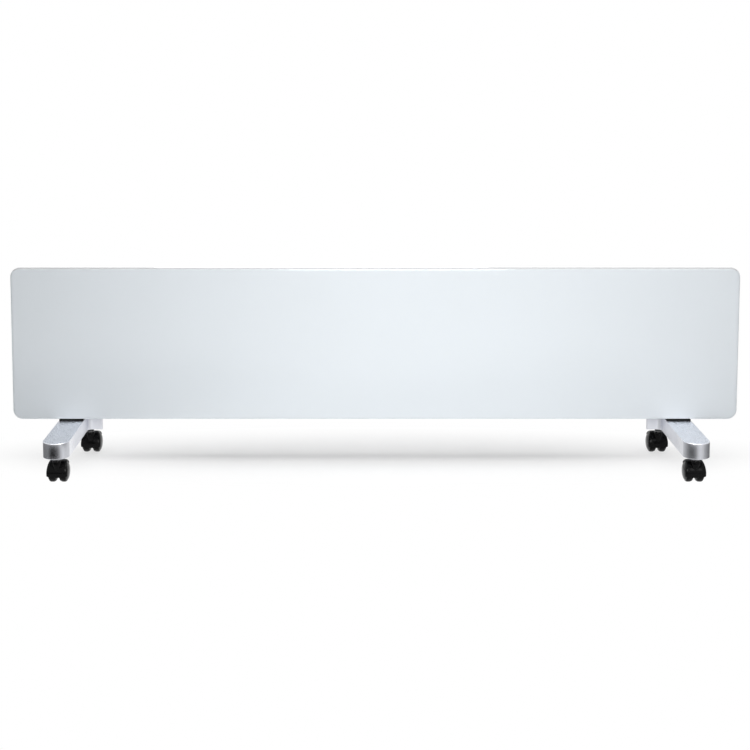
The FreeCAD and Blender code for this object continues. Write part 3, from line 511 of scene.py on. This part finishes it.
HOOD_WALL = 1.0 * MM
HOOD_FLARE = 0.15
# Directions round the axle, in degrees: nought is the front, and 90 is the top
HOOD_TURN = (-14, 141)
HOOD_STEPS = 44
GUARD_TURN = (-4, -176)
GUARD_STEPS = 32

# How far the stem stands behind the front of its hood
STEM_SETBACK = 6.5 * MM


def hood(name, body, materials):
    """The moulded cover of a caster with the web between the wheels and the boss round the stem."""
    low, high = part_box(name + "_hood")
    centre = middle_of(name + "_axle")
    mesh = bmesh.new()
    outer = mirrored(in_mm(HOOD_PROFILE))
    inner = []
    for index, (x, radius) in enumerate(outer):
        before = Vector(outer[max(index - 1, 0)])
        after = Vector(outer[min(index + 1, len(outer) - 1)])
        along = (after - before).normalized()
        inner.append((x + along.y * HOOD_WALL, radius - along.x * HOOD_WALL))
    swept(mesh, centre, outer + inner[::-1], even_angles(*HOOD_TURN, HOOD_STEPS), HOOD_FLARE)
    guard = mirrored(GUARD_PROFILE) + [(WEB_HALF, GUARD_BORE), (-WEB_HALF, GUARD_BORE)]
    swept(mesh, centre, in_mm(guard), even_angles(*GUARD_TURN, GUARD_STEPS))
    corners = [(centre.y + y, centre.z + z, radius) for y, z, radius in in_mm(WEB_CORNERS)]
    web = rounded_outline(corners, 0, SMALL_ARC_STEPS)
    loft(mesh, [facing_x(web, centre.x + side * WEB_HALF * MM) for side in (-1, 1)])
    boss = [(centre.z + z * MM, BOSS_RADIUS * share) for z, share in NECK_SHARES]
    boss += [(high.z - depth, BOSS_RADIUS - inside) for depth, inside in in_mm(BOSS_TOP)]
    lathe(mesh, (centre.x, low.y + STEM_SETBACK, 0), "Z", boss, steps=COLLAR_STEPS)
    piece = new_piece(name + "_cover", mesh, body, [materials["hood_nylon"]], smooth=50)
    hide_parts(name + "_hood")


def wheel(caster, side_name, materials):
    """A wheel's rounded tread and its domed cap."""
    node = "%s_%s_wheel" % (caster, side_name)
    centre = middle_of(caster + "_axle")
    side = 1 if middle_of(node).x > centre.x else -1
    profile = [(side * x, radius) for x, radius in in_mm(TREAD_PROFILE + CAP_PROFILE)]
    tread, cap = range(2)
    bands = [tread] * len(TREAD_PROFILE) + [cap] * (len(CAP_PROFILE) - 1)
    mesh = bmesh.new()
    lathe(mesh, centre, "X", profile, bands, WHEEL_STEPS, (None, None))
    finishes = [materials["wheel_nylon"], materials["wheel_cap"]]
    body = "%s_%s" % (caster, side_name)
    piece = new_piece(node + "_tyre", mesh, body, finishes, smooth=35)
    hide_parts(node)


def collar(name, materials):
    """The black washer and nut round a stem, between the foot and the hood."""
    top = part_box("left_foot")[0].z
    bottom = top - 5.6 * MM
    washer_bottom = top - 1.15 * MM
    nut_top = top - 1.2 * MM
    washer = 6.2 * MM
    nut = 5.4 * MM
    ease = 0.5 * MM
    centre = (middle_of(name + "_axle").x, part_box(name + "_hood")[0].y + STEM_SETBACK, 0)
    profile = [
        (bottom, nut - ease), (bottom + ease, nut), (nut_top, nut), (washer_bottom, washer), (top, washer),
    ]
    mesh = bmesh.new()
    lathe(mesh, centre, "Z", profile, steps=COLLAR_STEPS)
    new_piece(name + "_collar", mesh, "root", [materials["black_plastic"]])


# The controls on the right end

# The knob's profile is (height above its back, distance inside its radius), in millimetres. The flutes cut
# the rows named, which are its side.
KNOB_PROFILE = [
    (0, 0.6), (0.5, 0.05), (2.2, 0), (3.0, 1.2), (9.5, 2.2), (11.6, 2.8), (12.4, 4.2), (12.0, 5.4),
]
KNOB_STEPS = 96
FLUTES = 24
FLUTE_DEPTH = 0.45 * MM
FLUTED_ROWS = range(3, 6)
POINTER_ARC_STEPS = 3


def knob(materials):
    low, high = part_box("thermostat_knob")
    middle = middle_of("thermostat_knob")
    centre = Vector((0, middle.y, middle.z))
    knob_radius = (high.y - low.y) / 2
    loops = []
    for number, (height, inside) in enumerate(in_mm(KNOB_PROFILE)):
        loop = []
        for step in range(KNOB_STEPS):
            angle = math.tau * step / KNOB_STEPS
            dip = FLUTE_DEPTH * (0.5 - 0.5 * math.cos(angle * FLUTES)) if number in FLUTED_ROWS else 0
            radius = knob_radius - inside - dip
            across, along = math.sin(angle) * radius, math.cos(angle) * radius
            loop.append(centre + Vector((low.x + height, across, along)))
        loops.append(loop)
    mesh = bmesh.new()
    loft(mesh, loops)
    finishes = [materials["knob_plastic"]]
    piece = new_piece("temperature_knob", mesh, "knob", finishes, smooth=35)
    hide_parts("thermostat_knob")
    half_width = 0.8 * MM
    corner = 0.3 * MM
    bottom = centre.z + 1.5 * MM
    top = centre.z + knob_radius - 4.4 * MM
    sunk = low.x + 11.8 * MM
    raised = high.x - 0.6 * MM
    corners = rectangle(centre.y - half_width, bottom, centre.y + half_width, top, corner)
    pointer = rounded_outline(corners, 0, POINTER_ARC_STEPS)
    line = bmesh.new()
    loft(line, [facing_x(pointer, sunk), facing_x(pointer, raised)])
    new_piece("knob_pointer_line", line, "knob", [materials["print_white"]])


# Distances outside the knob's radius, and the sizes of the print
DIAL_NUMBERS = 7
DIAL_STEP = 45
TICK_START = 0.6 * MM
TICK_END = 1.7 * MM
TICK_HALF = 0.25 * MM
DIGITS_OUT = 3.7 * MM
DIGIT_SIZE = 3.6 * MM
PRINT_LIFT = 0.12 * MM


def dial_marks(materials):
    """Ticks and plain numbers round the knob, clockwise from nought at the top."""
    low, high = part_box("thermostat_knob")
    middle = middle_of("thermostat_knob")
    centre = Vector((middle.y, middle.z))
    radius = (high.y - low.y) / 2
    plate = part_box("control_bezel")[1].x
    directions = []
    for number in range(DIAL_NUMBERS):
        angle = math.radians(DIAL_STEP * number)
        directions.append(Vector((math.sin(angle), math.cos(angle))))
    ticks = bmesh.new()
    for out in directions:
        side = Vector((out.y, -out.x)) * TICK_HALF
        near = centre + out * (radius + TICK_START)
        far = centre + out * (radius + TICK_END)
        outline = [near - side, near + side, far + side, far - side]
        loft(ticks, [facing_x(outline, plate), facing_x(outline, plate + PRINT_LIFT)])
    new_piece("dial_ticks", ticks, "root", [materials["print_white"]])
    for number, out in enumerate(directions):
        words = bpy.data.curves.new("dial_number_%d" % number, "FONT")
        words.body = str(number)
        words.size = DIGIT_SIZE
        words.extrude = PRINT_LIFT / 2
        words.align_x = "CENTER"
        words.align_y = "CENTER"
        digit = bpy.data.objects.new("dial_number_%d" % number, words)
        place = centre + out * (radius + DIGITS_OUT)
        digit.location = (plate + PRINT_LIFT / 2, place.x, place.y)
        digit.rotation_euler = Euler((math.radians(90), 0, math.radians(90)))
        bpy.context.scene.collection.objects.link(digit)
        bpy.context.view_layer.update()
        solid = bmesh.new()
        solid.from_mesh(digit.to_mesh())
        solid.transform(digit.matrix_world)
        digit.to_mesh_clear()
        bpy.data.objects.remove(digit)
        new_piece("dial_digit_%d" % number, solid, "root", [materials["print_white"]])


# The signs on the rockers, in millimetres
BAR_HALF = (0.3, 1.5)
BARS_APART = 0.8
CIRCLE_RADII = (1.5, 1.0)
CIRCLE_STEPS = 32
SIGN_SUNK = 0.05 * MM
SIGN_RAISED = 0.06 * MM
# How far outside a rocker the search for its face starts
LOOK_FROM = 20 * MM


def bar_sign(place):
    """The outline of an upright bar, some way beside the middle."""
    width, height = BAR_HALF
    left, right = place - width, place + width
    return [(left, -height), (right, -height), (right, height), (left, height)]


def rocker_marks(materials):
    """A bar and a ring on the power rocker, and one and two bars on the heat rocker."""
    bar = [bar_sign(0)]
    bars = [bar_sign(-BARS_APART), bar_sign(BARS_APART)]
    turns = [math.tau * step / CIRCLE_STEPS for step in range(CIRCLE_STEPS)]
    circle = [[(math.cos(turn) * radius, math.sin(turn) * radius) for turn in turns]
              for radius in CIRCLE_RADII]
    for name, signs in (("power_rocker", (bar, circle)), ("heat_rocker", (bar, bars))):
        rocker = nodes[name]
        low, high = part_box(name)
        middle = middle_of(name)
        for number, (outlines, share) in enumerate(zip(signs, (0.5, -0.5))):
            aim = Vector((high.x + LOOK_FROM, middle.y, middle.z + share * (high.z - low.z) / 2))
            back = rocker.matrix_world.inverted()
            _, place, normal, _ = rocker.ray_cast(back @ aim, back.to_3x3() @ Vector((-1, 0, 0)))
            place = rocker.matrix_world @ place
            normal = (rocker.matrix_world.to_3x3() @ normal).normalized()
            across = Vector((0, 1, 0))
            along = normal.cross(across)
            shapes = [[place + across * u * MM + along * v * MM for u, v in outline]
                      for outline in outlines]
            sunk = [[p - normal * SIGN_SUNK for p in shape] for shape in shapes]
            raised = [[p + normal * SIGN_RAISED for p in shape] for shape in shapes]
            mesh = bmesh.new()
            if outlines is circle:
                loft(mesh, [sunk[0], raised[0], raised[1], sunk[1], sunk[0]], caps=(None, None))
            else:
                for pair in zip(sunk, raised):
                    loft(mesh, pair)
            finishes = [materials["print_white"]]
            new_piece("%s_mark_%d" % (name, number), mesh, name, finishes)


# Small screws round the back of the casing
SCREW_COLUMNS = 7
SCREW_INSET = 6.5 * MM
HEAD_RADIUS = 3.0 * MM
HEAD_HEIGHT = 1.5 * MM
HEAD_RIM_SHARE = 0.42
# A head's profile is (share of its height, share of its radius)
HEAD_SHARES = [(0, 0.92), (0.25, 1), (0.65, 0.88), (0.92, 0.6), (1, HEAD_RIM_SHARE)]
CROSS_ARM_SHARE = 0.40
CROSS_SLOT_SHARE = 0.13
CROSS_DEPTH_SHARE = 0.6


def casing_screws(materials):
    low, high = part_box("rear_casing")
    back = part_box("left_end_cap")[1].y
    mesh = bmesh.new()
    for z in (low.z + SCREW_INSET, high.z - SCREW_INSET):
        for column in range(SCREW_COLUMNS):
            reach = high.x - low.x - SCREW_INSET * 4
            x = low.x + SCREW_INSET * 2 + reach * column / (SCREW_COLUMNS - 1)
            screw_head(mesh, Vector((x, back, z)))
    new_piece("casing_screws", mesh, "root", [materials["screw_steel"]])


def screw_head(mesh, seat):
    """A pan head with a cross recess, whose seat faces the back."""
    profile = [(HEAD_HEIGHT * height, HEAD_RADIUS * radius) for height, radius in HEAD_SHARES]
    lathe(mesh, seat, "Y", profile, steps=SCREW_STEPS, caps=(0, None))
    arm = HEAD_RADIUS * CROSS_ARM_SHARE
    slot = HEAD_RADIUS * CROSS_SLOT_SHARE
    cross = []
    quarter = [(slot, slot), (slot, arm), (-slot, arm)]
    for _ in range(4):
        cross += quarter
        quarter = [(-y, x) for x, y in quarter]
    top = seat + Vector((0, HEAD_HEIGHT, 0))
    rim = ring(top, HEAD_RADIUS * HEAD_RIM_SHARE, "Y", SCREW_STEPS)
    shape = []
    for point in rim:
        direction = math.atan2(point.z - seat.z, point.x - seat.x)
        nearest = min(cross, key=lambda c: abs(math.remainder(math.atan2(c[1], c[0]) - direction, math.tau)))
        shape.append(top + Vector((nearest[0], 0, nearest[1])))
    floor = [p - Vector((0, HEAD_HEIGHT * CROSS_DEPTH_SHARE, 0)) for p in shape]
    loft(mesh, [rim, shape, floor], caps=(None, 0))


# The studio: a pale floor that keeps a soft shadow, soft lamps, and a white background
def seen_share(owner, share=None):
    """A mix factor by the kind of ray: a share, or all, for the camera, and all for reflections."""
    path = add_node(owner, "LightPath")
    camera = add_node(owner, "Math", operation="MULTIPLY")
    join(owner, path.outputs["Is Camera Ray"], camera.inputs[0])
    camera.inputs[1].default_value = 1.0
    if share is not None:
        join(owner, share, camera.inputs[1])
    seen = camera.outputs[0]
    for kind in ("Is Glossy Ray", "Is Transmission Ray"):
        either = add_node(owner, "Math", operation="MAXIMUM")
        join(owner, seen, either.inputs[0])
        join(owner, path.outputs[kind], either.inputs[1])
        seen = either.outputs[0]
    return seen


def staged(name, points, faces, material):
    """A mesh that belongs to the studio."""
    data = bpy.data.meshes.new(name)
    data.from_pydata(points, [], faces)
    data.materials.append(material)
    stage_object = bpy.data.objects.new(name, data)
    bpy.context.scene.collection.objects.link(stage_object)
    return stage_object


# The floor glows for the camera. In the middle of an oval it keeps only a share of that glow, which grows
# back between two shares of the oval's half width and half depth.
FLOOR_HALF = 12.0
FLOOR_SHADE = (0.93, 0.93, 0.93, 1)
FLOOR_GLOW = 0.28
OVAL_WIDTH = 0.86
OVAL_DEPTH = 0.20
OVAL_MIDDLE = 0.065
OVAL_FADE = (0.20, 0.85)


def set_floor():
    """A white floor. It glows for the camera, less so round the heater, where the soft shadow lies."""
    material = bpy.data.materials.new("studio_floor")
    output = emptied(material, "OutputMaterial")
    place = add_node(material, "TexCoord")
    oval = add_node(material, "Mapping", Location=(0, -OVAL_MIDDLE / OVAL_DEPTH, 0),
                    Scale=(1 / OVAL_WIDTH, 1 / OVAL_DEPTH, 1))
    join(material, place.outputs["Object"], oval.inputs["Vector"])
    reach = add_node(material, "VectorMath", operation="LENGTH")
    join(material, oval.outputs["Vector"], reach.inputs[0])
    fade = map_range(material, reach.outputs["Value"], *OVAL_FADE, FLOOR_GLOW, 1.0, "SMOOTHSTEP")
    shade = add_node(material, "BsdfDiffuse", Color=FLOOR_SHADE)
    glow = add_node(material, "Emission", Color=WHITE, Strength=1.0)
    mix_shaders(material, seen_share(material, fade), shade, glow, output)
    size = FLOOR_HALF
    staged("studio_floor", [(-size, -size, 0), (size, -size, 0), (size, size, 0), (-size, size, 0)],
           [(0, 1, 2, 3)], material)


AMBIENT = 0.11


def set_world():
    """A white background, which lights the heater only a little."""
    world = bpy.data.worlds.new("studio_world")
    bpy.context.scene.world = world
    output = emptied(world, "OutputWorld")
    soft = add_node(world, "Background", Color=WHITE, Strength=AMBIENT)
    plain = add_node(world, "Background", Color=WHITE, Strength=1.0)
    mix_shaders(world, seen_share(world), soft, plain, output)


# Each lamp: its place, what it points at, its width and height, and its power
LAMPS = {
    "key_front": ((0.06, -0.85, 0.42), (0.05, 0.02, 0.2), (0.5, 0.3), 3.6),
    "key_side": ((0.76, -1.09, 0.61), (0.44, 0, 0.06), (0.3, 0.4), 1.2),
    "overhead": ((0, -0.08, 1.6), (0, 0.02, 0), (2.4, 1.2), 20.3),
    "back_fill": ((-0.1, 1.1, 0.6), (0, 0.08, 0.2), (0.8, 0.4), 3.8),
}


def set_lamps():
    for name, (place, target, size, power) in LAMPS.items():
        data = bpy.data.lights.new(name, "AREA")
        data.shape = "RECTANGLE"
        data.size, data.size_y = size
        data.energy = power
        lamp = bpy.data.objects.new(name, data)
        lamp.location = place
        lamp.rotation_euler = (Vector(target) - Vector(place)).to_track_quat("-Z", "Y").to_euler()
        lamp.visible_camera = False
        bpy.context.scene.collection.objects.link(lamp)


# What the polished noses of the feet mirror, as a painted reflection: (direction on the floor in degrees,
# shade of its glow). A direction of zero points to the front, and it grows towards +X.
LEFT_PAINTED_REFLECTION = [
    (-90, 0.20), (-64, 0.20), (-43, 0.07), (-24, 0.015), (-6, 0.02), (12, 0.08), (29, 0.24), (46, 0.55),
    (65, 0.76), (85, 0.68), (140, 0.70), (155, 1.0), (195, 1.0), (215, 0.5), (240, 0.20), (270, 0.20),
]
RIGHT_PAINTED_REFLECTION = [
    (-90, 0.29), (-66, 0.14), (-48, 0.10), (-30, 0.13), (-12, 0.28), (5, 0.60), (23, 0.74), (42, 0.65),
    (63, 0.42), (87, 0.28), (121, 0.20), (148, 0.30), (165, 0.82), (205, 0.82), (219, 0.62), (250, 0.46),
    (270, 0.29),
]

# The cards lie under the front ends of the feet, a little above the floor, and fade out towards their rims
CARD_OUT = 0.479
CARD_FRONT = 0.089
CARD_HOLE = 0.10
CARD_FADE = 0.45
CARD_RADIUS = 0.75
CARD_STEPS = 48
LEFT_CARD_HEIGHT = 1 * MM
RIGHT_CARD_HEIGHT = 2 * MM


def floor_card(name, x, height, shades):
    """A glowing ring on the floor, shaded by direction and fading out, that shows only in polished surfaces:
    a painted reflection.
    """
    material = bpy.data.materials.new(name)
    output = emptied(material, "OutputMaterial")
    place = add_node(material, "TexCoord")
    turn = add_node(material, "TexGradient", gradient_type="RADIAL")
    join(material, place.outputs["Object"], turn.inputs["Vector"])
    ramp = add_node(material, "ValToRGB")
    stops = ramp.color_ramp.elements
    while len(stops) < len(shades):
        stops.new(0.5)
    for stop, (direction, shade) in zip(stops, shades):
        stop.position = (direction + 90) / 360
    for stop, (direction, shade) in zip(stops, shades):
        stop.color = (shade, shade, shade, 1)
    join(material, turn.outputs["Fac"], ramp.inputs["Fac"])
    reflection_glow = add_node(material, "Emission")
    join(material, ramp.outputs["Color"], reflection_glow.inputs["Color"])
    reach = add_node(material, "VectorMath", operation="LENGTH")
    join(material, place.outputs["Object"], reach.inputs[0])
    fade = map_range(material, reach.outputs["Value"], CARD_FADE, CARD_RADIUS, kind="SMOOTHSTEP")
    mix_shaders(material, fade, reflection_glow, add_node(material, "BsdfTransparent"), output)
    steps = CARD_STEPS
    points = [(math.sin(math.tau * step / steps) * radius, math.cos(math.tau * step / steps) * radius, 0)
              for radius in (CARD_HOLE, CARD_RADIUS) for step in range(steps)]
    faces = [(step, (step + 1) % steps, (step + 1) % steps + steps, step + steps) for step in range(steps)]
    card = staged(name, points, faces, material)
    card.location = (x, -CARD_FRONT, height)
    card.visible_camera = False
    card.visible_diffuse = False
    card.visible_shadow = False


def build():
    materials = make_materials()
    dress_frame(materials)
    glass_panel(materials)
    for side_name in ("left", "right"):
        foot(side_name, materials)
        foot_pad(side_name, materials)
    for name in CASTERS:
        hood(name, name + "_swivel", materials)
        wheel(name, "inner", materials)
        wheel(name, "outer", materials)
        collar(name, materials)
    knob(materials)
    dial_marks(materials)
    rocker_marks(materials)
    casing_screws(materials)


set_camera()
set_floor()
set_world()
set_lamps()
floor_card("left_floor_card", -CARD_OUT, LEFT_CARD_HEIGHT, LEFT_PAINTED_REFLECTION)
floor_card("right_floor_card", CARD_OUT, RIGHT_CARD_HEIGHT, RIGHT_PAINTED_REFLECTION)
build()
bpy.context.scene.view_settings.view_transform = "Standard"
